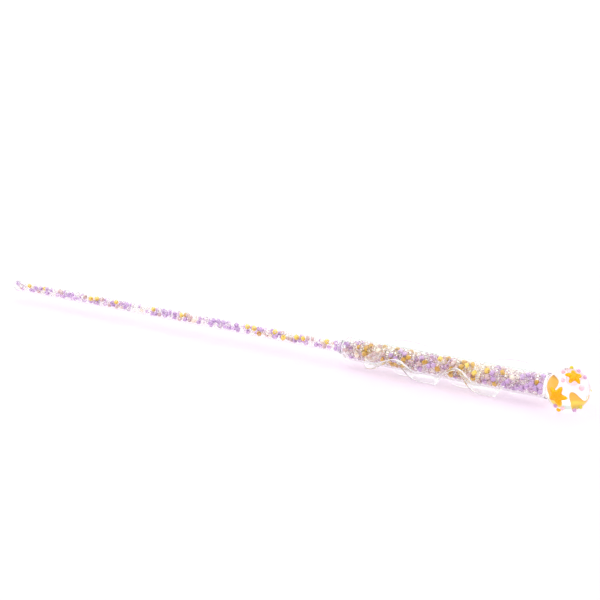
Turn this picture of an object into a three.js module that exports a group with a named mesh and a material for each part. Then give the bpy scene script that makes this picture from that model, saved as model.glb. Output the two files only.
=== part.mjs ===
// Glass magic wand: a bead-filled glass shaft and handle, wavy glass trails on the handle,
// and a ball stopper with raised stars and dots.
// Millimetres, +Z up. The wand lies along X with its tip at -X, resting on the ball and the trails.
import * as THREE from 'three';
import { mergeVertices } from 'three/addons/utils/BufferGeometryUtils.js';

// Driving dimensions
const GAP = 0.3;                  // clearance kept between pieces that touch or are fused
const SHAFT_LENGTH = 267;
const SHAFT_DIAMETER = 7.2;
const SHAFT_WALL = 0.6;
const TIP_WALL = 1.4;             // glass thickness at the closed tip
const HANDLE_LENGTH = 114.5;
const HANDLE_DIAMETER = 13;
const HANDLE_WALL = 0.9;
const SHOULDER_DEPTH = 4;         // axial depth of the handle's round closed end
const WELD_LENGTH = 2.6;          // fillet of glass that joins shaft and handle
const WELD_HEIGHT = 1.3;
const BALL_DIAMETER = 21;
const BALL_FLAT_DIAMETER = 6;     // ground flat at the ball's far pole
const PLUG_DEPTH = 1.6;           // how far the stopper reaches into the handle's mouth
const PLUG_CHAMFER = 0.4;
const BEAD_DIAMETER = 3;
const BEAD_RELIEF = 0.7;          // depth of the dips between neighbouring beads
const BEAD_NESTING = 0.62;        // spacing of bead rows as a share of a bead's diameter
const SHAFT_BEADS_AROUND = 3;
const HANDLE_BEADS_AROUND = 9;
const TRAIL_WIDTH = 1.3;
const FRONT_TRAIL_START = 15;     // from the handle's closed end to where a trail begins
const BACK_TRAIL_START = 14;
const UNDER_TRAIL_START = 10;
const FRONT_TRAIL_END = 20;       // from a trail's end to the handle's mouth
const BACK_TRAIL_END = 8;
const UNDER_TRAIL_END = 14;
const FRONT_TRAIL_CREST = 35.5;   // from the handle's closed end to a trail's first crest
const BACK_TRAIL_CREST = 36;
const FRONT_TRAIL_WAVE = 33;      // length of one wave
const BACK_TRAIL_WAVE = 60;
const TRAIL_BLOB = 5;             // run over which a trail swells from its first touch
const TRAIL_TAIL = 9;             // run over which it thins out at its end
const FRONT_TRAIL_LAUNCH = 42;    // degrees above its low points where the front trail begins
const TRAIL_REST_ANGLE = 10;      // degrees off straight down where the trails touch the table
const STAR_THICKNESS = 0.9;
const STAR_WAIST = 0.54;          // inner corner radius of a star as a share of its point radius
const DOT_HEIGHT = 0.9;

const shaftRadius = SHAFT_DIAMETER / 2;
const shaftBore = shaftRadius - SHAFT_WALL;
const handleRadius = HANDLE_DIAMETER / 2;
const handleBore = handleRadius - HANDLE_WALL;
const ballRadius = BALL_DIAMETER / 2;
const flatRadius = BALL_FLAT_DIAMETER / 2;
const plugRadius = handleBore - GAP;
const rimX = SHAFT_LENGTH + HANDLE_LENGTH;
const seatRadius = handleRadius - HANDLE_WALL / 2;
const ballX = rimX + GAP + Math.sqrt(ballRadius ** 2 - seatRadius ** 2);
const neckX = ballX - Math.sqrt(ballRadius ** 2 - plugRadius ** 2);
const trailReach = ballRadius / Math.cos(THREE.MathUtils.degToRad(TRAIL_REST_ANGLE));

const COLOURS = {
  glass: 0xf4f7f6,
  violet: 0xa070d0,
  clear: 0xe9e6ee,
  yellow: 0xe8cf4a,
  amber: 0xd69a1e,
  mauve: 0xb094a2,
  gold: 0xf6b51c,
  pink: 0xf2bfcd,
  purple: 0xc393c8,
  lime: 0xd6cc58,
  orange: 0xf09a2a,
};

function glassMaterial(colour) {
  return new THREE.MeshStandardMaterial({ color: colour, roughness: 0.08, metalness: 0 });
}

function enamelMaterial(colour) {
  return new THREE.MeshStandardMaterial({ color: colour, roughness: 0.25, metalness: 0 });
}

function goldMaterial(colour) {
  return new THREE.MeshStandardMaterial({ color: colour, roughness: 0.3, metalness: 0.35 });
}

// A closed mesh from points and triangles, turned so that its faces point out.
function closedGeometry(points, triangles) {
  let sixfoldVolume = 0;
  for (const [a, b, c] of triangles) {
    sixfoldVolume += points[a].dot(points[b].clone().cross(points[c]));
  }
  const facing = sixfoldVolume > 0 ? triangles : triangles.map(([a, b, c]) => [a, c, b]);
  const geometry = new THREE.BufferGeometry().setFromPoints(points);
  geometry.setIndex(facing.flat());
  return geometry;
}

// A solid of revolution about X. The profile is a list of [x, radius].
function turned(profile, segments) {
  const outline = profile.map(([x, radius]) => new THREE.Vector2(radius, x));
  const lathe = new THREE.LatheGeometry(outline, segments).rotateZ(-Math.PI / 2);
  lathe.deleteAttribute('normal');
  lathe.deleteAttribute('uv');
  const merged = mergeVertices(lathe, 1e-4);
  const position = merged.getAttribute('position');
  const points = [];
  for (let i = 0; i < position.count; i += 1) {
    points.push(new THREE.Vector3().fromBufferAttribute(position, i));
  }
  const index = merged.getIndex().array;
  const triangles = [];
  for (let i = 0; i < index.length; i += 3) {
    const [a, b, c] = [index[i], index[i + 1], index[i + 2]];
    if (a !== b && b !== c && c !== a) {
      triangles.push([a, b, c]);
    }
  }
  return closedGeometry(points, triangles);
}

// Skins a row of rings, each with the same number of points, and closes both ends.
function skinned(rings) {
  const around = rings[0].length;
  const points = rings.flat();
  const triangles = [];
  for (let i = 0; i + 1 < rings.length; i += 1) {
    for (let j = 0; j < around; j += 1) {
      const a = i * around + j;
      const b = i * around + (j + 1) % around;
      triangles.push([a, b, b + around], [a, b + around, a + around]);
    }
  }
  const ends = [[rings[0], 0, true], [rings.at(-1), (rings.length - 1) * around, false]];
  for (const [ring, first, flip] of ends) {
    const middle = ring.reduce((sum, p) => sum.add(p), new THREE.Vector3()).divideScalar(around);
    const hub = points.push(middle) - 1;
    for (let j = 0; j < around; j += 1) {
      const pair = [first + j, first + (j + 1) % around];
      triangles.push(flip ? [hub, pair[1], pair[0]] : [hub, pair[0], pair[1]]);
    }
  }
  return closedGeometry(points, triangles);
}

// Unit direction square to the wand, turned from the front (-Y) towards the top (+Z).
function outward(degrees) {
  const angle = THREE.MathUtils.degToRad(degrees);
  return new THREE.Vector3(0, -Math.cos(angle), Math.sin(angle));
}

// Quarter ellipse from the axis end to the side, as [x, radius] points.
function roundEnd(startX, depth, radius, firstRadius, steps) {
  const firstAngle = Math.asin(firstRadius / radius);
  const points = [];
  for (let i = 0; i <= steps; i += 1) {
    const angle = firstAngle + (Math.PI / 2 - firstAngle) * i / steps;
    points.push([startX + depth * (1 - Math.cos(angle)), radius * Math.sin(angle)]);
  }
  return points;
}

const wand = new THREE.Group();

function addPiece(name, geometry, material, parent = wand) {
  const mesh = new THREE.Mesh(geometry, material);
  mesh.name = name;
  parent.add(mesh);
  return mesh;
}

// Shaft: a thin tube with a closed round tip, open towards the handle
function shaftTube() {
  const endX = SHAFT_LENGTH - GAP;
  const outer = roundEnd(0, shaftRadius, shaftRadius, 0, 5);
  const inner = roundEnd(TIP_WALL, shaftBore, shaftBore, 0, 5).reverse();
  return turned([...outer, [endX, shaftRadius], [endX, shaftBore], ...inner], 24);
}

// Handle: a wider tube with a round closed end towards the shaft and an open, softened mouth
function handleTube() {
  const lip = HANDLE_WALL / 2;
  const outer = roundEnd(SHAFT_LENGTH, SHOULDER_DEPTH, handleRadius, 0, 6);
  const inner = roundEnd(SHAFT_LENGTH + HANDLE_WALL, SHOULDER_DEPTH, handleBore, 0, 6).reverse();
  const rim = [];
  for (let i = 0; i <= 4; i += 1) {
    const angle = Math.PI * i / 4;
    rim.push([rimX - lip + lip * Math.sin(angle), handleRadius - lip + lip * Math.cos(angle)]);
  }
  return turned([...outer, ...rim, ...inner], 28);
}

// Weld: a hollow-sided ring of glass in the corner between shaft and handle
function shaftWeld() {
  const steps = 4;
  const innerRadius = shaftRadius + GAP;
  const outerRadius = innerRadius + WELD_HEIGHT;
  const shoulderAt = (radius) => {
    const drop = Math.sqrt(1 - (radius / handleRadius) ** 2);
    return SHAFT_LENGTH + SHOULDER_DEPTH * (1 - drop) - GAP * 1.5;
  };
  const frontX = shoulderAt(innerRadius) - WELD_LENGTH;
  const outerX = shoulderAt(outerRadius);
  const edge = GAP;
  const profile = [[frontX, innerRadius]];
  for (let i = 0; i <= steps; i += 1) {
    const angle = Math.PI / 2 * i / steps;
    const x = frontX + (outerX - edge - frontX) * Math.sin(angle);
    profile.push([x, innerRadius + edge + (WELD_HEIGHT - edge) * (1 - Math.cos(angle))]);
  }
  for (let i = 0; i <= steps; i += 1) {
    const radius = outerRadius - WELD_HEIGHT * i / steps;
    profile.push([shoulderAt(radius), radius]);
  }
  profile.push([frontX, innerRadius]);
  return turned(profile, 24);
}

// Beads: a knobbly column, one knob for each bead that shows at the tube's wall
function beadColumn(startX, length, radius, knobsAround) {
  const around = knobsAround * 2;
  const steps = Math.max(2, Math.round(length / (BEAD_DIAMETER * BEAD_NESTING)));
  const rings = [];
  for (let i = 0; i <= steps; i += 1) {
    const x = startX + length * i / steps;
    const atEnd = i === 0 || i === steps;
    const ring = [];
    for (let j = 0; j < around; j += 1) {
      const dip = (i + j) % 2 === 0 || atEnd ? BEAD_RELIEF : 0;
      const side = outward(360 * j / around).multiplyScalar(radius - dip);
      ring.push(side.setX(x));
    }
    rings.push(ring);
  }
  return skinned(rings);
}

// Lays runs of like-coloured beads end to end; a run's share of the column is its bead rows.
function fillTube(name, startX, endX, radius, knobsAround, runs) {
  const rows = runs.reduce((sum, [, count]) => sum + count, 0);
  const rowLength = (endX - startX) / rows;
  let x = startX;
  runs.forEach(([colour, count], i) => {
    const number = String(i + 1).padStart(2, '0');
    const geometry = beadColumn(x, count * rowLength - GAP, radius, knobsAround);
    addPiece(`${name}_${number}_${colour}`, geometry, glassMaterial(COLOURS[colour]));
    x += count * rowLength;
  });
}

const SHAFT_RUNS = [
  ['violet', 4], ['clear', 2], ['amber', 3], ['violet', 15], ['yellow', 4], ['mauve', 3],
  ['violet', 6], ['clear', 4], ['violet', 6], ['amber', 4], ['violet', 14], ['yellow', 3],
  ['amber', 3], ['violet', 4], ['amber', 3], ['violet', 10],
];
const HANDLE_RUNS = [
  ['violet', 3], ['amber', 6], ['mauve', 6], ['violet', 7], ['amber', 6], ['clear', 6], ['violet', 11],
];

// Trails: wavy ribbons of glass laid on the handle and pulled up on edge. A trail swings up from its
// low angle to its crests, which may climb from wave to wave. launch lifts its beginning above the low
// angle. Angles are in degrees.
function trail({ start, end, crest, wave, lowAngle, rise, climb = 0, launch = 0 }) {
  const startX = SHAFT_LENGTH + start;
  const endX = rimX - end;
  const foot = handleRadius + GAP;
  const stations = 44;
  const section = [
    [-0.5, 0], [0.5, 0], [0.48, 0.45], [0.36, 0.85], [0.14, 1], [-0.14, 1], [-0.36, 0.85], [-0.48, 0.45],
  ];
  const rings = [];
  for (let i = 0; i <= stations; i += 1) {
    const x = startX + (endX - startX) * i / stations;
    const swell = Math.min(1, 0.35 + (x - startX) / TRAIL_BLOB);
    const thin = Math.min(1, 0.3 + (endX - x) / TRAIL_TAIL);
    const height = (trailReach - foot) * Math.min(swell, thin);
    const width = TRAIL_WIDTH * Math.min(1, 0.6 + swell * 0.4, 0.5 + thin * 0.5);
    const waves = (x - SHAFT_LENGTH - crest) / wave;
    const swing = (1 + Math.cos(2 * Math.PI * waves)) / 2;
    const lead = waves < 0 ? launch * (1 - swing) : 0;
    const turn = lowAngle + lead + (rise + climb * waves) * swing;
    const radial = outward(turn);
    const sideways = outward(turn + 90);
    rings.push(section.map(([across, up]) => {
      const point = radial.clone().multiplyScalar(foot + up * height);
      return point.addScaledVector(sideways, across * width).setX(x);
    }));
  }
  return skinned(rings);
}

// The front trail's low points and the under trail's crests lie on the table, on either side of the
// wand's line.
const UNDER_RISE = 40;
const TRAILS = {
  trail_front: {
    start: FRONT_TRAIL_START,
    end: FRONT_TRAIL_END,
    crest: FRONT_TRAIL_CREST,
    wave: FRONT_TRAIL_WAVE,
    lowAngle: TRAIL_REST_ANGLE - 90,
    rise: 86,
    climb: 12,
    launch: FRONT_TRAIL_LAUNCH,
  },
  trail_back: {
    start: BACK_TRAIL_START,
    end: BACK_TRAIL_END,
    crest: BACK_TRAIL_CREST,
    wave: BACK_TRAIL_WAVE,
    lowAngle: 185,
    rise: -50,
  },
  trail_under: {
    start: UNDER_TRAIL_START,
    end: UNDER_TRAIL_END,
    crest: FRONT_TRAIL_CREST,
    wave: FRONT_TRAIL_WAVE,
    lowAngle: -90 - TRAIL_REST_ANGLE - UNDER_RISE,
    rise: UNDER_RISE,
  },
};

// Stopper: a ground plug in the handle's mouth and a solid ball with a ground flat at its far pole
const stopper = new THREE.Group();
wand.add(stopper);

function stopperPlug() {
  const innerX = rimX - PLUG_DEPTH;
  const outerX = neckX - GAP;
  return turned([
    [innerX, 0], [innerX, plugRadius - PLUG_CHAMFER], [innerX + PLUG_CHAMFER, plugRadius],
    [outerX, plugRadius], [outerX, 0],
  ], 28);
}

function ball() {
  const steps = 12;
  const firstAngle = Math.PI - Math.asin(plugRadius / ballRadius);
  const lastAngle = Math.asin(flatRadius / ballRadius);
  const profile = [[neckX, 0]];
  for (let i = 0; i <= steps; i += 1) {
    const angle = firstAngle + (lastAngle - firstAngle) * i / steps;
    profile.push([ballX + ballRadius * Math.cos(angle), ballRadius * Math.sin(angle)]);
  }
  profile.push([profile.at(-1)[0], 0]);
  return turned(profile, 28);
}

// A place on the ball: degrees from the far pole, then degrees around from the front to the top.
function ballDirection(fromPole, around) {
  const angle = THREE.MathUtils.degToRad(fromPole);
  return outward(around).multiplyScalar(Math.sin(angle)).setX(Math.cos(angle));
}

function placeOnBall(mesh, fromPole, around, spin) {
  mesh.position.set(ballX, 0, 0);
  mesh.quaternion.setFromUnitVectors(new THREE.Vector3(0, 0, 1), ballDirection(fromPole, around));
  mesh.rotateZ(THREE.MathUtils.degToRad(spin));
}

// A five-pointed star bent to the ball: rings of outline points at two shares of the star's size,
// on an inner and an outer sphere about the ball's middle.
function starGeometry(pointRadius) {
  const corners = 10;
  const inner = ballRadius + GAP;
  const outer = inner + STAR_THICKNESS;
  const onSphere = (sphere, share, corner) => {
    const reach = pointRadius * share * (corner % 2 === 0 ? 1 : STAR_WAIST);
    const lean = reach / ballRadius;
    const turn = 2 * Math.PI * corner / corners;
    const out = Math.sin(lean) * sphere;
    return new THREE.Vector3(out * Math.cos(turn), out * Math.sin(turn), Math.cos(lean) * sphere);
  };
  const rings = [[inner, 0.5], [inner, 1], [outer, 0.94], [outer, 0.5]].map(([sphere, share]) =>
    Array.from({ length: corners }, (_, corner) => onSphere(sphere, share, corner)));
  return skinned(rings);
}

function dotGeometry(radius) {
  const foot = ballRadius + GAP;
  const steps = 4;
  const profile = [[foot, 0]];
  for (let i = 0; i <= steps; i += 1) {
    const angle = Math.PI / 2 * i / steps;
    profile.push([foot + DOT_HEIGHT * Math.sin(angle), radius * Math.cos(angle)]);
  }
  return turned(profile, 10).rotateY(-Math.PI / 2);
}

// Stars and dots: [degrees from the far pole, degrees around, size, spin]
const STARS = [
  [69, 63, 4.4, 48], [102, -3, 5.3, 57], [125, 210, 3.6, 70], [90, 216, 3.2, 16],
];
const DOTS = {
  lime: [[87, 100, 1], [33, 185, 1], [43, -52, 1], [98, 168, 1]],
  purple: [[67, 97, 1], [45, 90, 1], [106, -37, 1.1], [60, -54, 1.1], [78, 190, 1.1], [136, 150, 1]],
  orange: [[100, -55, 1.2], [62, 178, 1.1], [80, 243, 1.1]],
  pink: [[99, 69, 1.1], [92, 42, 1.1], [87, -38, 1.1], [41, 36, 1.4], [101, 190, 1.1], [128, 172, 1.2]],
};

// Assembly
addPiece('shaft_tube', shaftTube(), glassMaterial(COLOURS.glass));
addPiece('shaft_weld', shaftWeld(), glassMaterial(COLOURS.glass));
addPiece('handle_tube', handleTube(), glassMaterial(COLOURS.glass));
const shaftFill = [TIP_WALL + shaftBore / 2, SHAFT_LENGTH - GAP];
fillTube('shaft_beads', ...shaftFill, shaftBore - GAP, SHAFT_BEADS_AROUND, SHAFT_RUNS);
const handleFill = [SHAFT_LENGTH + HANDLE_WALL + SHOULDER_DEPTH, rimX - PLUG_DEPTH];
fillTube('handle_beads', ...handleFill, handleBore - GAP, HANDLE_BEADS_AROUND, HANDLE_RUNS);
for (const [name, shape] of Object.entries(TRAILS)) {
  addPiece(name, trail(shape), glassMaterial(COLOURS.glass));
}
addPiece('stopper_plug', stopperPlug(), glassMaterial(COLOURS.glass), stopper);
addPiece('ball', ball(), glassMaterial(COLOURS.glass), stopper);
STARS.forEach(([fromPole, around, size, spin], i) => {
  const star = addPiece(`gold_star_${i + 1}`, starGeometry(size), goldMaterial(COLOURS.gold), stopper);
  placeOnBall(star, fromPole, around, spin);
});
for (const [colour, places] of Object.entries(DOTS)) {
  places.forEach(([fromPole, around, size], i) => {
    const enamel = enamelMaterial(COLOURS[colour]);
    const dot = addPiece(`${colour}_dot_${i + 1}`, dotGeometry(size), enamel, stopper);
    placeOnBall(dot, fromPole, around, 0);
  });
}

// The origin is the middle of the box that holds the wand, on the table it lies on.
const box = new THREE.Box3().setFromObject(wand, true);
const middle = box.getCenter(new THREE.Vector3());
wand.position.set(-middle.x, -middle.y, -box.min.z);

export default wand;
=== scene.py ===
import math

import bpy
import numpy as np
from mathutils import Matrix, Vector


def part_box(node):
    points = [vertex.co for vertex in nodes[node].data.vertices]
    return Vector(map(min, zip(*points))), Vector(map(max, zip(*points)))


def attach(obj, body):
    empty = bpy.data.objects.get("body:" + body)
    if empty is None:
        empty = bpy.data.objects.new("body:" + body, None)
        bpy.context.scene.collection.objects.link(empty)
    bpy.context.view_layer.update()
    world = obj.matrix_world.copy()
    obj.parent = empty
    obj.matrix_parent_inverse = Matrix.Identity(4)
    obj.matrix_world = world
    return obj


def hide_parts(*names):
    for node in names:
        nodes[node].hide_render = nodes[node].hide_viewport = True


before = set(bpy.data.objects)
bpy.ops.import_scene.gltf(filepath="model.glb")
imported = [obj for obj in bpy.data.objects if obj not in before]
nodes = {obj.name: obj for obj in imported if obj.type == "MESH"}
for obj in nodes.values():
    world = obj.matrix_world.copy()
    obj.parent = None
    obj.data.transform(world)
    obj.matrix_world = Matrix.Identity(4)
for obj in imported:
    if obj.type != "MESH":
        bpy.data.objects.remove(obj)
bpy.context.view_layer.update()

MM = 0.001

# Finish sizes, in metres
TIP_WALL = 1.4 * MM
SHAFT_WALL = 0.6 * MM
HANDLE_WALL = 0.9 * MM
SHOULDER_DEPTH = 4.0 * MM
WELD_SEAT = 0.05 * MM           # hairline between the weld and the shaft
WELD_GAP = 0.06 * MM            # hairline between the weld and the shoulder
WELD_LIP = 0.12 * MM            # how thick the weld is at its edges
BALL_FLAT_RADIUS = 3.0 * MM
PLUG_CHAMFER = 0.4 * MM
PLUG_BACK_CHAMFER = 0.05 * MM
FUSED = 0.12 * MM               # how deep stars and dots are melted into the ball
TRAIL_HALF_WIDTH = 0.5 * MM
TRAIL_SEAT = 0.03 * MM          # hairline between a trail's foot and the tube
BEAD_RADIUS = 1.48 * MM
BEAD_HALF_LENGTH = 1.05 * MM
BEAD_HOLE_RADIUS = 0.5 * MM
BEAD_SPACING = 2.8 * MM         # between the middles of two beads side by side
BEAD_CLEARANCE = 0.06 * MM      # between the beads and the bore
BEAD_TIP_GAP = 0.2 * MM         # between the first bead and the tip's wall
BEAD_PLUG_GAP = 0.1 * MM        # between the last bead and the plug
SHAFT_BEAD_PITCH = 1.25 * MM    # length of shaft taken by one bead
HANDLE_BEAD_SHARE = 0.2 * MM    # length of handle taken by one bead
MILKY_DEPTH = 1.2 * MM          # how far light soaks into milky glass
TABLE_HALF_WIDTH = 3.0

# Shares, unless said otherwise
SHAFT_RIPPLE = 0.006            # how far a drawn tube's radius wanders
SHAFT_BORE_RIPPLE = 0.01
HANDLE_RIPPLE = 0.005
HANDLE_BORE_RIPPLE = 0.006
TRAIL_WANDER = 0.3              # how far a trail's width wanders
FLAT_RING = 0.5                 # where a flat face has its inner ring
STAR_WAIST = 0.56               # reach of a star between two points
BEAD_SHOULDER_START = 0.35      # how far into the shoulder the handle's beads begin
BEAD_ROUNDNESS = 0.8            # 1 gives an oval section, less a squarer one
BEAD_SIZES = (0.92, 1.02)       # smallest and largest bead
BEAD_SWING = 0.5                # how far a bead in the shaft strays from its side, in radians
BEAD_TUMBLE = 0.35              # how far a bead tips away from its neighbour
BEAD_WALL_REACH = 0.6           # beads farther out than this lie against the wall
BEAD_WALL_TURN = 0.85           # how far those turn their round side to it

# Fineness
SHAFT_SEGMENTS = 56
SHAFT_STEPS = 90
HANDLE_SEGMENTS = 80
HANDLE_STEPS = 40
WELD_STEPS = 10
PLUG_SEGMENTS = 64
BALL_SEGMENTS = 88
BALL_STEPS = 44
TRAIL_STATIONS = 160
TRAIL_START_STATIONS = 8        # melted round at the start
TRAIL_END_STATIONS = 12         # melted round at the end
STAR_RINGS = 9
STAR_AROUND = 80
DOT_RINGS = 8
DOT_AROUND = 28
BEAD_AROUND = 16
BEAD_SECTION = 10
SETTLE_STEPS = 420
SETTLE_PUSH = 0.32              # share of an overlap that one step undoes

# Glass and light
NOISE_LOW = 0.3                 # most values of a noise texture lie between these two
NOISE_HIGH = 0.7
GLASS_IOR = 1.5
FUSED_IOR = 1.06                # low, as light that leaves the ball through a fused skin bends only once
ENAMEL_GLOSS = 0.2
TABLE_GLOW = 0.43
ROOM_STRENGTH = 2.2
LIGHT_BOUNCES = 256
DIFFUSE_BOUNCES = 12
SEED = 12

# Camera, fitted to the wand's outline in a 600 x 600 frame
CAMERA_PLACE = Vector((300.7, -411.0, 161.6)) * MM
CAMERA_AZIMUTH = 32.57
CAMERA_ELEVATION = 14.73
CAMERA_LENS = 54.0
SENSOR_WIDTH = 36.0

# Places read from the frame
shaft_low, shaft_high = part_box("shaft_tube")
handle_low, handle_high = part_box("handle_tube")
ball_low, ball_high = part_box("ball")
plug_low, plug_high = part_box("stopper_plug")
weld_low, weld_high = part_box("shaft_weld")
axis_y = (handle_low.y + handle_high.y) / 2
axis_z = (handle_low.z + handle_high.z) / 2
shaft_radius = (shaft_high.z - shaft_low.z) / 2
handle_radius = (handle_high.z - handle_low.z) / 2
ball_radius = (ball_high.z - ball_low.z) / 2
plug_radius = (plug_high.z - plug_low.z) / 2
ball_centre = Vector((ball_high.x - math.sqrt(ball_radius ** 2 - BALL_FLAT_RADIUS ** 2), axis_y, axis_z))


def outward(angle):
    """Unit direction square to the wand, turned from the front (-Y) towards the top (+Z)."""
    return Vector((0, -math.cos(angle), math.sin(angle)))


def on_axis(x):
    return Vector((x, axis_y, axis_z))


# Mesh helpers

def make_object(name, points, faces, materials, material_index=None):
    mesh = bpy.data.meshes.new(name)
    mesh.from_pydata([tuple(p) for p in points], [], faces)
    mesh.validate()
    for material in materials:
        mesh.materials.append(material)
    if material_index is not None:
        mesh.polygons.foreach_set("material_index", material_index)
    mesh.shade_smooth()
    piece = bpy.data.objects.new(name, mesh)
    bpy.context.scene.collection.objects.link(piece)
    return piece


def turned(profile, segments):
    """Points and faces of a solid turned about the wand's axis. The profile is a list of (x, radius)."""
    points, rings, faces = [], [], []
    for x, radius in profile:
        if radius < 1e-9:
            rings.append([len(points)])
            points.append(on_axis(x))
        else:
            first = len(points)
            rings.append(list(range(first, first + segments)))
            for j in range(segments):
                points.append(on_axis(x) + outward(2 * math.pi * j / segments) * radius)
    pairs = list(zip(rings, rings[1:]))
    if len(rings[0]) > 1:
        pairs.append((rings[-1], rings[0]))
    for ring, following in pairs:
        for j in range(segments):
            k = (j + 1) % segments
            if len(ring) == 1:
                faces.append((ring[0], following[j], following[k]))
            elif len(following) == 1:
                faces.append((ring[j], following[0], ring[k]))
            else:
                faces.append((ring[j], following[j], following[k], ring[k]))
    return points, faces


def arc(centre_x, centre_r, reach_x, reach_r, start, end, steps):
    """Profile points on an ellipse, from angle start to end in degrees; 0 points along +X, 90 outward."""
    angles = [math.radians(start + (end - start) * i / steps) for i in range(steps + 1)]
    return [(centre_x + reach_x * math.cos(a), max(0.0, centre_r + reach_r * math.sin(a))) for a in angles]


def straight(start_x, end_x, radius, steps, ripple, rng):
    """Profile points along a drawn tube, whose radius wanders a little."""
    wander = rng.normal(0, ripple, steps + 1)
    wander = np.convolve(np.pad(wander, 2, mode="edge"), np.ones(5) / 5, mode="valid")
    return [(start_x + (end_x - start_x) * i / steps, radius * (1 + wander[i])) for i in range(1, steps)]


# Materials

def linear(red, green, blue):
    """Linear colour from 8-bit display values."""
    def channel(value):
        value /= 255
        return value / 12.92 if value <= 0.04045 else ((value + 0.055) / 1.055) ** 2.4
    return (channel(red), channel(green), channel(blue), 1.0)


def new_material(name):
    material = bpy.data.materials.new(name)
    material.use_nodes = True
    tree = material.node_tree
    shader = tree.nodes["Principled BSDF"]
    return material, tree, shader


def noise(tree, scale, detail=3.0):
    place = tree.nodes.new("ShaderNodeTexCoord")
    texture = tree.nodes.new("ShaderNodeTexNoise")
    texture.inputs["Scale"].default_value = scale
    texture.inputs["Detail"].default_value = detail
    tree.links.new(place.outputs["Object"], texture.inputs["Vector"])
    return texture


def tone_stops(tones, low=NOISE_LOW, high=NOISE_HIGH):
    """Ramp stops that share out the tones evenly between two noise values."""
    return [(low + (high - low) * i / (len(tones) - 1), tone) for i, tone in enumerate(tones)]


def ramp(tree, source, stops):
    node = tree.nodes.new("ShaderNodeValToRGB")
    elements = node.color_ramp.elements
    for element, (position, colour) in zip(elements, (stops[0], stops[-1])):
        element.position = position
        element.color = colour
    for position, colour in stops[1:-1]:
        elements.new(position).color = colour
    tree.links.new(source, node.inputs["Fac"])
    return node


def spread(tree, source, low, high):
    """Maps a noise value onto a range."""
    node = tree.nodes.new("ShaderNodeMapRange")
    node.inputs["From Min"].default_value = NOISE_LOW
    node.inputs["From Max"].default_value = NOISE_HIGH
    node.inputs["To Min"].default_value = low
    node.inputs["To Max"].default_value = high
    tree.links.new(source, node.inputs["Value"])
    return node


def add_bump(tree, shader, source, strength, distance):
    node = tree.nodes.new("ShaderNodeBump")
    node.inputs["Strength"].default_value = strength
    node.inputs["Distance"].default_value = distance
    tree.links.new(source, node.inputs["Height"])
    tree.links.new(node.outputs["Normal"], shader.inputs["Normal"])


def clear_glass(name, tints, wave, wave_depth):
    """Fire-polished clear glass: a faint green cast, slow waves and a little smear."""
    material, tree, shader = new_material(name)
    cast = noise(tree, 90)
    tint = ramp(tree, cast.outputs["Fac"], tone_stops(tints))
    tree.links.new(tint.outputs["Color"], shader.inputs["Base Color"])
    smear = noise(tree, 260, detail=5)
    rough = spread(tree, smear.outputs["Fac"], 0.0, 0.05)
    tree.links.new(rough.outputs["Result"], shader.inputs["Roughness"])
    add_bump(tree, shader, noise(tree, wave, detail=1).outputs["Fac"], 0.35, wave_depth)
    shader.inputs["Transmission Weight"].default_value = 1.0
    shader.inputs["IOR"].default_value = GLASS_IOR
    return material


def make_milky(shader):
    shader.inputs["Subsurface Weight"].default_value = 1.0
    shader.inputs["Subsurface Radius"].default_value = (1.0, 1.0, 1.0)
    shader.inputs["Subsurface Scale"].default_value = MILKY_DEPTH


def bead_glass(name, tones, milky, roughness):
    """Seed-bead glass, clear or milky: the tone shifts from bead to bead, and the skin is streaked."""
    material, tree, shader = new_material(name)
    shift = noise(tree, 330, detail=2)
    tint = ramp(tree, shift.outputs["Fac"], tone_stops(tones))
    tree.links.new(tint.outputs["Color"], shader.inputs["Base Color"])
    streak = noise(tree, 1500, detail=3)
    low, high = roughness
    rough = spread(tree, streak.outputs["Fac"], low, high)
    tree.links.new(rough.outputs["Result"], shader.inputs["Roughness"])
    add_bump(tree, shader, streak.outputs["Fac"], 0.15, 0.05 * MM)
    shader.inputs["IOR"].default_value = GLASS_IOR
    if milky:
        make_milky(shader)
    else:
        shader.inputs["Transmission Weight"].default_value = 1.0
    return material


def enamel(name, tones, thin):
    """Coloured glass melted onto the ball: cloudy tone and a fired skin. Milky, or thin enough to glow."""
    material, tree, shader = new_material(name)
    cloud = noise(tree, 420, detail=4)
    tint = ramp(tree, cloud.outputs["Fac"], tone_stops(tones, 0.32, 0.68))
    tree.links.new(tint.outputs["Color"], shader.inputs["Base Color"])
    skin = noise(tree, 1800, detail=3)
    low, high = (0.3, 0.45) if thin else (0.2, 0.36)
    rough = spread(tree, skin.outputs["Fac"], low, high)
    tree.links.new(rough.outputs["Result"], shader.inputs["Roughness"])
    add_bump(tree, shader, skin.outputs["Fac"], 0.2, 0.04 * MM)
    if thin:
        shader.inputs["IOR"].default_value = FUSED_IOR
        shader.inputs["Transmission Weight"].default_value = 1.0
    else:
        shader.inputs["IOR"].default_value = GLASS_IOR
        shader.inputs["Specular IOR Level"].default_value = ENAMEL_GLOSS
        make_milky(shader)
    return material


TUBE_GLASS = clear_glass("tube_glass", (linear(254, 255, 254), linear(251, 254, 252)), 70, 0.2 * MM)
TRAIL_GLASS = clear_glass("trail_glass", (linear(252, 255, 252), linear(248, 253, 250)), 140, 0.2 * MM)
BALL_GLASS = clear_glass("ball_glass", (linear(254, 255, 254), linear(252, 254, 253)), 60, 0.1 * MM)

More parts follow.
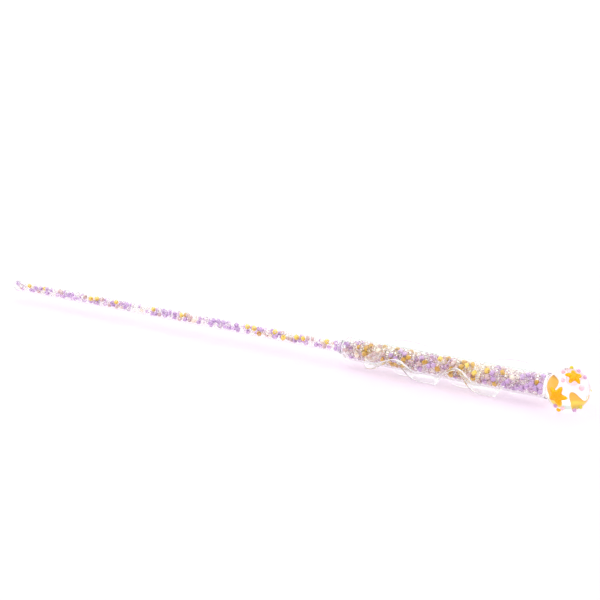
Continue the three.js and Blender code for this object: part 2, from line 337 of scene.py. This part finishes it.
BEAD_GLASSES = {
    "violet": bead_glass("bead_violet", (linear(214, 182, 220), linear(186, 146, 200)), True, (0.05, 0.2)),
    "plum": bead_glass("bead_plum", (linear(242, 220, 244), linear(220, 188, 230)), False, (0.03, 0.14)),
    "clear": bead_glass("bead_clear", (linear(255, 254, 251), linear(254, 250, 245)), False, (0.01, 0.08)),
    "cream": bead_glass("bead_cream", (linear(248, 234, 220), linear(240, 220, 204)), True, (0.04, 0.16)),
    "yellow": bead_glass("bead_yellow", (linear(244, 216, 90), linear(234, 194, 54)), True, (0.05, 0.2)),
    "amber": bead_glass("bead_amber", (linear(217, 172, 4), linear(197, 146, 2)), True, (0.05, 0.2)),
    "mauve": bead_glass("bead_mauve", (linear(218, 190, 190), linear(196, 162, 164)), True, (0.05, 0.2)),
}
# Shares of each bead glass in a run, by the run's leading colour
BEAD_MIXES = {
    "violet": {"violet": 0.34, "plum": 0.22, "clear": 0.32, "cream": 0.04, "mauve": 0.08},
    "clear": {"clear": 0.6, "cream": 0.12, "violet": 0.14, "mauve": 0.08, "yellow": 0.06},
    "yellow": {"yellow": 0.18, "clear": 0.38, "cream": 0.06, "violet": 0.24, "plum": 0.14},
    "amber": {"amber": 0.14, "clear": 0.38, "cream": 0.08, "violet": 0.18, "plum": 0.12, "mauve": 0.1},
    "mauve": {"mauve": 0.2, "violet": 0.2, "clear": 0.36, "cream": 0.07, "plum": 0.1, "amber": 0.07},
}
# Glasses that one tube holds more or less of than the mixes say
SHAFT_FAVOUR = {"yellow": 0.15, "amber": 0.15, "violet": 0.95}
HANDLE_FAVOUR = {"clear": 1.9, "amber": 2.2, "violet": 0.65, "plum": 0.8}
# Beads that stand out in the photo: mm from the tip, and height from -1 (lower edge) to 1 (upper edge)
ACCENT_BEADS = {
    "yellow": [(17, 0.9), (31, 0.3), (77, 0.4), (82, 0.8), (98, 0.6), (127, 0.5), (152, 0.4), (200, 0.2),
               (206, 0.3), (222, 0.7), (226, -0.6), (237, -0.2), (241, 0.5), (256, 0.5), (324, 0.8),
               (340, 0.6), (346, -0.1)],
    "amber": [(154, 0.5), (212, -0.4), (278, 0.3), (286, 0.7), (282, -0.3), (308, 0.4), (306, -0.3),
              (300, -0.9), (317, 0), (339, 0.3), (344, 0.7), (345, -0.9), (358, 0.7), (356, -0.7),
              (376, 0.3)],
    "cream": [(252, 0.6)],
    "mauve": [(86, 0.4), (100, -0.3), (152, -0.7), (157, 0.5), (244, -0.2), (255, -0.1), (292, 0.1),
              (314, -0.2), (342, -0.6), (352, -0.6)],
    "violet": [(19, -0.4), (35, -0.5), (62, -0.1), (94, -0.7), (106, -0.7), (127, -0.7), (166, -0.5),
               (180, -0.4), (210, -0.4), (249, -0.5), (263, -0.6), (298, 0.3), (320, -0.6), (370, -0.7),
               (377, -0.1)],
    "clear": [(12, 0), (52, 0.5), (91, 0.4), (112, 0), (116, 0.3), (136, 0.2), (172, -0.1), (190, -0.2),
              (219, 0.1), (229, 0.1), (292, 0.5), (303, 0.4), (349, 0.1), (356, 0.1), (366, 0), (372, 0)],
}

# Ball decoration by node kind: material slot, milky tones, thin tones. The thin tones are lighter: painted
# light for the shade inside the ball
DECORATION = {
    "gold_star": ("star_gold", ((251, 186, 10), (246, 168, 14)), ((247, 199, 78), (242, 190, 70))),
    "lime_dot": ("dot_lime", ((222, 210, 80), (206, 196, 70)), ((244, 240, 150), (238, 232, 140))),
    "purple_dot": ("dot_purple", ((216, 178, 210), (202, 160, 196)), ((240, 216, 242), (234, 206, 236))),
    "orange_dot": ("dot_orange", ((250, 196, 50), (247, 182, 44)), ((255, 222, 150), (255, 214, 140))),
    "pink_dot": ("dot_pink", ((250, 206, 214), (246, 188, 202)), ((255, 236, 236), (254, 230, 230))),
}
# Stars and dots on the ball's far side, thin enough to let light through, in lighter tones: painted light
# for the shade they lie in
THIN_ENAMEL = {
    "gold_star_3", "gold_star_4", "lime_dot_2", "lime_dot_4", "purple_dot_5", "purple_dot_6",
    "orange_dot_2", "orange_dot_3", "pink_dot_5", "pink_dot_6",
}
ENAMELS = {}
for kind, (slot, milky_tones, lightened_tones) in DECORATION.items():
    milky = enamel(slot, [linear(*tone) for tone in milky_tones], False)
    # the thin copy's lighter tones are painted light, against the shade inside the ball
    thin = enamel(f"{slot}_thin", [linear(*tone) for tone in lightened_tones], True)
    ENAMELS[kind] = (slot, milky, thin)


def dress(piece, body, slot, *replaced):
    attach(piece, body)
    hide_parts(*replaced)


# Tubes

def shaft_glass(rng):
    bore = shaft_radius - SHAFT_WALL
    tip, end = shaft_low.x, shaft_high.x
    outer = arc(tip + shaft_radius, 0, shaft_radius, shaft_radius, 180, 90, 14)
    outer += straight(tip + shaft_radius, end, shaft_radius, SHAFT_STEPS, SHAFT_RIPPLE, rng)
    rim = SHAFT_WALL / 2
    outer += arc(end - rim, shaft_radius - rim, rim, rim, 90, -90, 6)
    inner = straight(end - rim, tip + TIP_WALL + bore, bore, SHAFT_STEPS, SHAFT_BORE_RIPPLE, rng)
    inner += arc(tip + TIP_WALL + bore, 0, bore, bore, 90, 180, 12)
    piece = make_object("shaft_glass", *turned(outer + inner, SHAFT_SEGMENTS), [TUBE_GLASS])
    dress(piece, "wand", "clear_glass", "shaft_tube")


def handle_glass(rng):
    bore = handle_radius - HANDLE_WALL
    start, mouth = handle_low.x, handle_high.x
    rim = HANDLE_WALL / 2
    outer = arc(start + SHOULDER_DEPTH, 0, SHOULDER_DEPTH, handle_radius, 180, 90, 18)
    outer += straight(start + SHOULDER_DEPTH, mouth - rim, handle_radius, HANDLE_STEPS, HANDLE_RIPPLE, rng)
    outer += arc(mouth - rim, handle_radius - rim, rim, rim, 90, -90, 10)
    inner_start = start + HANDLE_WALL + SHOULDER_DEPTH
    inner = straight(mouth - rim, inner_start, bore, HANDLE_STEPS, HANDLE_BORE_RIPPLE, rng)
    inner += arc(inner_start, 0, SHOULDER_DEPTH, bore, 90, 180, 16)
    piece = make_object("handle_glass", *turned(outer + inner, HANDLE_SEGMENTS), [TUBE_GLASS])
    dress(piece, "wand", "clear_glass", "handle_tube")


def weld_glass():
    """A hollow-sided fillet of glass between shaft and shoulder."""
    inner = shaft_radius + WELD_SEAT
    outer = (weld_high.z - weld_low.z) / 2
    front = weld_low.x

    def shoulder(radius):
        drop = math.sqrt(1 - (radius / handle_radius) ** 2)
        return handle_low.x + SHOULDER_DEPTH * (1 - drop) - WELD_GAP

    foot = inner + WELD_LIP
    reach = shoulder(outer) - WELD_LIP - front
    profile = [(front, inner), (front, foot)]
    for i in range(1, WELD_STEPS + 1):
        angle = math.pi / 2 * i / WELD_STEPS
        profile.append((front + reach * math.sin(angle), foot + (outer - foot) * (1 - math.cos(angle))))
    for i in range(WELD_STEPS + 1):
        radius = outer + (inner - outer) * i / WELD_STEPS
        profile.append((shoulder(radius), radius))
    piece = make_object("weld_glass", *turned(profile, SHAFT_SEGMENTS), [TUBE_GLASS])
    dress(piece, "wand", "clear_glass", "shaft_weld")


# Trails

def trail_path(node):
    """A trail's stations along the wand, read from its solid: x, angle about the axis, highest reach."""
    by_x = {}
    for vertex in nodes[node].data.vertices:
        by_x.setdefault(round(vertex.co.x, 6), []).append(vertex.co)
    stations = []
    for x in sorted(by_x):
        middle = sum(by_x[x], Vector()) / len(by_x[x])
        angle = math.atan2(middle.z - axis_z, axis_y - middle.y)
        reach = max(math.hypot(p.y - axis_y, p.z - axis_z) for p in by_x[x])
        stations.append((x, angle, reach))
    xs, angles, reaches = (np.array(column) for column in zip(*stations))
    return xs, np.unwrap(angles), reaches


def trail_glass(node, name, rng):
    """A ribbon of soft glass pulled up on edge: flared foot, thin waist, rounded ridge, melted ends."""
    xs, angles, reaches = trail_path(node)
    count = TRAIL_STATIONS
    x = np.linspace(xs[0], xs[-1], count)
    angle = np.interp(x, xs, angles)
    angle = np.convolve(np.pad(angle, 3, mode="edge"), np.ones(7) / 7, mode="valid")
    reach = np.interp(x, xs, reaches)
    wander = np.convolve(rng.normal(0, 1, count + 18), np.ones(19) / 19, mode="valid")
    foot = handle_radius + TRAIL_SEAT
    half_section = [(1.5, 0.0), (1.3, 0.05), (0.9, 0.16), (0.7, 0.45), (0.74, 0.75), (0.6, 0.91),
                    (0.26, 0.99)]
    section = [(0.0, 0.0)] + half_section + [(-across, up) for across, up in reversed(half_section)]
    around = len(section)
    points, faces = [on_axis(x[0]) + outward(angle[0]) * foot], []
    for i in range(1, count - 1):
        from_end = min(1.0, i / TRAIL_START_STATIONS, (count - 1 - i) / TRAIL_END_STATIONS)
        melted = math.sqrt(1 - (1 - from_end) ** 2)
        half = TRAIL_HALF_WIDTH * melted * (1 + TRAIL_WANDER * wander[i])
        height = (reach[i] - foot) * melted
        for across, up in section:
            turn = angle[i] + across * half / (foot + up * height)
            points.append(on_axis(x[i]) + outward(turn) * (foot + up * height))
    points.append(on_axis(x[-1]) + outward(angle[-1]) * foot)
    last = len(points) - 1
    for j in range(around):
        k = (j + 1) % around
        faces.append((0, 1 + k, 1 + j))
        for i in range(count - 3):
            a, b = 1 + i * around, 1 + (i + 1) * around
            faces.append((a + j, a + k, b + k, b + j))
        end = 1 + (count - 3) * around
        faces.append((end + j, end + k, last))
    piece = make_object(name, points, faces, [TRAIL_GLASS])
    dress(piece, "wand", "clear_glass", node)


# Stopper

def ball_glass():
    neck = ball_low.x
    start = math.degrees(math.acos((neck - ball_centre.x) / ball_radius))
    end = math.degrees(math.asin(BALL_FLAT_RADIUS / ball_radius))
    profile = [(neck, 0), (neck, plug_radius * FLAT_RING)]
    profile += arc(ball_centre.x, 0, ball_radius, ball_radius, start, end, BALL_STEPS)
    edge_x, edge_radius = profile[-1]
    profile += [(edge_x, edge_radius * 0.97), (edge_x, edge_radius * FLAT_RING), (edge_x, 0)]
    piece = make_object("ball_glass", *turned(profile, BALL_SEGMENTS), [BALL_GLASS])
    dress(piece, "stopper", "clear_glass", "ball")


def plug_glass():
    inner, outer = plug_low.x, plug_high.x
    profile = [(inner, 0), (inner, plug_radius * FLAT_RING), (inner, plug_radius - PLUG_CHAMFER * 1.1)]
    profile += arc(inner + PLUG_CHAMFER, plug_radius - PLUG_CHAMFER, PLUG_CHAMFER, PLUG_CHAMFER, 180, 90, 6)
    profile += [(outer - PLUG_BACK_CHAMFER, plug_radius), (outer, plug_radius * 0.98)]
    profile += [(outer, plug_radius * FLAT_RING), (outer, 0)]
    piece = make_object("plug_glass", *turned(profile, PLUG_SEGMENTS), [BALL_GLASS])
    dress(piece, "stopper", "clear_glass", "stopper_plug")


def on_ball(node):
    """Where a star or dot sits on the ball, read from its solid: its frame, its point angle and its top."""
    offsets = [vertex.co - ball_centre for vertex in nodes[node].data.vertices]
    up = sum(offsets, Vector()).normalized()
    farthest = max(offsets, key=lambda p: up.angle(p))
    side = (farthest - up * farthest.dot(up)).normalized()
    top = max(p.length for p in offsets)
    return (side, up.cross(side), up), up.angle(farthest), top


def raised_patch(name, node, outline, dome, rings, around):
    """A domed patch melted onto the ball. outline(turn) is the edge's share of the point angle."""
    (side, across, up), point_angle, top = on_ball(node)
    foot = ball_radius - FUSED
    points, faces = [], []

    def place(turn, share, radius):
        lean = point_angle * outline(turn) * share
        tangent = side * math.cos(turn) + across * math.sin(turn)
        return ball_centre + (up * math.cos(lean) + tangent * math.sin(lean)) * radius

    layers = [(share, foot + (top - foot) * dome(share)) for share in np.linspace(0, 1, rings + 1)[1:]]
    layers += [(1.0, foot), (0.5, foot)]
    points.append(ball_centre + up * top)
    for share, radius in layers:
        points += [place(2 * math.pi * j / around, share, radius) for j in range(around)]
    points.append(ball_centre + up * foot)
    for j in range(around):
        k = (j + 1) % around
        faces.append((0, 1 + j, 1 + k))
        for i in range(len(layers) - 1):
            a, b = 1 + i * around, 1 + (i + 1) * around
            faces.append((a + j, b + j, b + k, a + k))
        last = 1 + (len(layers) - 1) * around
        faces.append((last + j, len(points) - 1, last + k))
    slot, milky, thin = ENAMELS[node.rsplit("_", 1)[0]]
    piece = make_object(name, points, faces, [thin if node in THIN_ENAMEL else milky])
    dress(piece, "stopper", slot, node)


def star_outline(turn):
    """Five soft points: 1 at a point, the waist between two points."""
    swing = (1 + math.cos(5 * turn)) / 2
    return STAR_WAIST + (1 - STAR_WAIST) * swing ** 1.3


def star_dome(share):
    return (1 - share ** 3.2) ** 0.7


def dot_dome(share):
    return math.sqrt(max(0.0, 1 - share ** 2.4))


def low_dome(share):
    return 1 - share ** 2


def ball_decoration():
    for node in sorted(nodes):
        thin = node in THIN_ENAMEL
        if node.startswith("gold_star"):
            dome = low_dome if thin else star_dome
            name = node.replace("gold_star", "star_glass")
            raised_patch(name, node, star_outline, dome, STAR_RINGS, STAR_AROUND)
        elif "_dot_" in node:
            dome = low_dome if thin else dot_dome
            name = node.replace("_dot_", "_drop_")
            raised_patch(name, node, lambda turn: 1.0, dome, DOT_RINGS, DOT_AROUND)


# Beads

def settle(low, high, bore, count, abreast, rng):
    """Bead middles in a full bore: scattered, then pushed apart until they lie side by side."""
    reach = bore - BEAD_RADIUS - BEAD_CLEARANCE
    x = np.linspace(low + BEAD_RADIUS, high - BEAD_RADIUS, count)
    if abreast:
        angle = math.pi / 2 * (-1) ** np.arange(count) + rng.normal(0, BEAD_SWING, count)
        radius = np.full(count, reach)
    else:
        angle = rng.uniform(0, 2 * math.pi, count)
        radius = reach * np.sqrt(rng.uniform(0, 1, count))
    places = np.column_stack([x, radius * np.cos(angle), radius * np.sin(angle)])
    for step in range(SETTLE_STEPS):
        apart = places[:, None, :] - places[None, :, :]
        distance = np.linalg.norm(apart, axis=2) + np.eye(count)
        overlap = np.clip(BEAD_SPACING - distance, 0, None)
        push = (apart / distance[:, :, None] * overlap[:, :, None]).sum(axis=1)
        places += SETTLE_PUSH * push
        places[:, 0] = np.clip(places[:, 0], low + BEAD_RADIUS, high - BEAD_RADIUS)
        away = np.hypot(places[:, 1], places[:, 2])
        shrink = np.minimum(1, reach / np.maximum(away, 1e-9))
        places[:, 1:] *= shrink[:, None]
    return places


def bead_shape():
    """A seed bead about its hole: points along the section, one ring for each."""
    middle = (BEAD_RADIUS + BEAD_HOLE_RADIUS) / 2
    thick = (BEAD_RADIUS - BEAD_HOLE_RADIUS) / 2
    section = []
    for i in range(BEAD_SECTION):
        angle = 2 * math.pi * i / BEAD_SECTION
        c, s = math.cos(angle), math.sin(angle)
        section.append((middle + thick * math.copysign(abs(c) ** BEAD_ROUNDNESS, c),
                        BEAD_HALF_LENGTH * math.copysign(abs(s) ** BEAD_ROUNDNESS, s)))
    return section


def bead_mesh(place, axis, scale):
    section = bead_shape()
    side = axis.orthogonal().normalized()
    across = axis.cross(side)
    points, faces = [], []
    for radius, along in section:
        for j in range(BEAD_AROUND):
            turn = 2 * math.pi * j / BEAD_AROUND
            out = side * math.cos(turn) + across * math.sin(turn)
            points.append(place + (out * radius + axis * along) * scale)
    rings = len(section)
    for i in range(rings):
        following = (i + 1) % rings
        for j in range(BEAD_AROUND):
            k = (j + 1) % BEAD_AROUND
            faces.append((i * BEAD_AROUND + j, i * BEAD_AROUND + k,
                          following * BEAD_AROUND + k, following * BEAD_AROUND + j))
    return points, faces


def bead_axes(places, rng):
    """Beads lie about face to face with their nearest neighbour, with their round side to the wall."""
    apart = places[None, :, :] - places[:, None, :]
    distance = np.linalg.norm(apart, axis=2) + np.eye(len(places))
    nearest = distance.argmin(axis=1)
    towards = apart[np.arange(len(places)), nearest]
    towards += rng.normal(0, BEAD_TUMBLE, towards.shape) * np.linalg.norm(towards, axis=1)[:, None]
    away = np.hypot(places[:, 1], places[:, 2])
    outwards = places * (0, 1, 1) / np.maximum(away, 1e-9)[:, None]
    lean = (towards * outwards).sum(axis=1) * (away > BEAD_WALL_REACH * away.max())
    towards -= BEAD_WALL_TURN * lean[:, None] * outwards
    return [Vector(v).normalized() for v in towards]


def camera_side(x):
    """Angle about the axis at which the wand faces the camera."""
    towards = CAMERA_PLACE - on_axis(x)
    return math.atan2(towards.z, -towards.y)


def accent_beads(places, bore):
    """The bead nearest to each accent, with its glass."""
    chosen = {}
    for glass, spots in ACCENT_BEADS.items():
        for along, height in spots:
            x = shaft_low.x + along * MM
            if not places[:, 0].min() <= x <= places[:, 0].max():
                continue
            spot = outward(camera_side(x) + math.asin(height)) * (bore - BEAD_RADIUS)
            away = np.linalg.norm(places - np.array((x, spot.y, spot.z)), axis=1)
            nearest = next(i for i in np.argsort(away) if i not in chosen)
            chosen[nearest] = glass
    return chosen


def fill_with_beads(prefix, low, high, bore, count, abreast, favour, rng):
    places = settle(low, high, bore, count, abreast, rng)
    axes = bead_axes(places, rng)
    scales = rng.uniform(*BEAD_SIZES, count)
    accents = accent_beads(places, bore)
    runs = sorted(node for node in nodes if node.startswith(prefix))
    starts = np.array([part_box(node)[0].x for node in runs])
    owner = np.clip(np.searchsorted(starts, places[:, 0], side="right") - 1, 0, len(runs) - 1)
    names = list(BEAD_GLASSES)
    for index, node in enumerate(runs):
        colour = node.rsplit("_", 1)[1]
        mix = BEAD_MIXES[colour]
        shares = [share * favour.get(glass, 1.0) for glass, share in mix.items()]
        points, faces, looks = [], [], []
        for i in np.flatnonzero(owner == index):
            drawn = rng.choice(list(mix), p=np.array(shares) / sum(shares))
            glass = accents.get(i, drawn)
            place = on_axis(places[i, 0]) + Vector((0, places[i, 1], places[i, 2]))
            bead_points, bead_faces = bead_mesh(place, axes[i], scales[i])
            first = len(points)
            points += bead_points
            faces += [tuple(first + v for v in face) for face in bead_faces]
            looks += [names.index(glass)] * len(bead_faces)
        piece = make_object(f"{node}_grains", points, faces, list(BEAD_GLASSES.values()), looks)
        dress(piece, "wand", f"bead_{colour}", node)


def all_beads():
    rng = np.random.default_rng(SEED)
    shaft_bore = shaft_radius - SHAFT_WALL
    shaft_start = shaft_low.x + TIP_WALL + BEAD_TIP_GAP
    count = round((shaft_high.x - shaft_start) / SHAFT_BEAD_PITCH)
    fill_with_beads("shaft_beads_", shaft_start, shaft_high.x, shaft_bore, count, True, SHAFT_FAVOUR, rng)
    handle_bore = handle_radius - HANDLE_WALL
    handle_start = handle_low.x + HANDLE_WALL + SHOULDER_DEPTH * BEAD_SHOULDER_START
    count = round((plug_low.x - handle_start) / HANDLE_BEAD_SHARE)
    handle_end = plug_low.x - BEAD_PLUG_GAP
    fill_with_beads("handle_beads_", handle_start, handle_end, handle_bore, count, False, HANDLE_FAVOUR, rng)


# Stage

def floor():
    half = TABLE_HALF_WIDTH
    points = [(-half, -half, 0), (half, -half, 0), (half, half, 0), (-half, half, 0)]
    material, tree, shader = new_material("white_table")
    grain = noise(tree, 40, detail=4)
    tint = ramp(tree, grain.outputs["Fac"], tone_stops([linear(189, 180, 188), linear(192, 183, 191)]))
    tree.links.new(tint.outputs["Color"], shader.inputs["Base Color"])
    shader.inputs["Roughness"].default_value = 0.6
    shader.inputs["Specular IOR Level"].default_value = 0.2
    shader.inputs["Emission Color"].default_value = linear(255, 235, 255)
    shader.inputs["Emission Strength"].default_value = TABLE_GLOW
    table = make_object("table", points, [(0, 1, 2, 3)], [material])


def studio_light():
    """A white room with no hard lamp: bright overhead, white horizon, a softer grey wall between them."""
    world = bpy.data.worlds.new("studio")
    bpy.context.scene.world = world
    world.use_nodes = True
    tree = world.node_tree
    background = tree.nodes["Background"]
    place = tree.nodes.new("ShaderNodeTexCoord")
    split = tree.nodes.new("ShaderNodeSeparateXYZ")
    tree.links.new(place.outputs["Generated"], split.inputs["Vector"])
    overhead = (0.8, 0.8, 0.8, 1.0)
    horizon = (0.66, 0.66, 0.66, 1.0)
    wall = (0.36, 0.38, 0.36, 1.0)
    stops = [(0.0, horizon), (0.12, horizon), (0.3, wall), (0.55, wall), (0.75, overhead), (1.0, overhead)]
    bands = ramp(tree, split.outputs["Z"], stops)
    tree.links.new(bands.outputs["Color"], background.inputs["Color"])
    background.inputs["Strength"].default_value = ROOM_STRENGTH


def camera():
    data = bpy.data.cameras.new("camera")
    data.lens = CAMERA_LENS
    data.sensor_width = SENSOR_WIDTH
    data.clip_start = 0.01
    data.clip_end = 20.0
    eye = bpy.data.objects.new("camera", data)
    azimuth, elevation = math.radians(CAMERA_AZIMUTH), math.radians(CAMERA_ELEVATION)
    back = Vector((math.sin(azimuth) * math.cos(elevation), -math.cos(azimuth) * math.cos(elevation),
                   math.sin(elevation)))
    right = Vector((math.cos(azimuth), math.sin(azimuth), 0))
    turn = Matrix((right, back.cross(right), back)).transposed()
    eye.matrix_world = Matrix.Translation(CAMERA_PLACE) @ turn.to_4x4()
    bpy.context.scene.collection.objects.link(eye)
    bpy.context.scene.camera = eye


def picture_settings():
    scene = bpy.context.scene
    scene.view_settings.view_transform = "Standard"
    scene.cycles.max_bounces = LIGHT_BOUNCES
    scene.cycles.transmission_bounces = LIGHT_BOUNCES
    scene.cycles.glossy_bounces = LIGHT_BOUNCES
    scene.cycles.diffuse_bounces = DIFFUSE_BOUNCES
    scene.cycles.blur_glossy = 0.0
    scene.cycles.sample_clamp_indirect = 0.0


rng = np.random.default_rng(SEED + 1)
camera()
picture_settings()
studio_light()
floor()
shaft_glass(rng)
handle_glass(rng)
weld_glass()
for trail in ("front", "back", "under"):
    trail_glass(f"trail_{trail}", f"{trail}_trail_glass", rng)
ball_glass()
plug_glass()
ball_decoration()
all_beads()
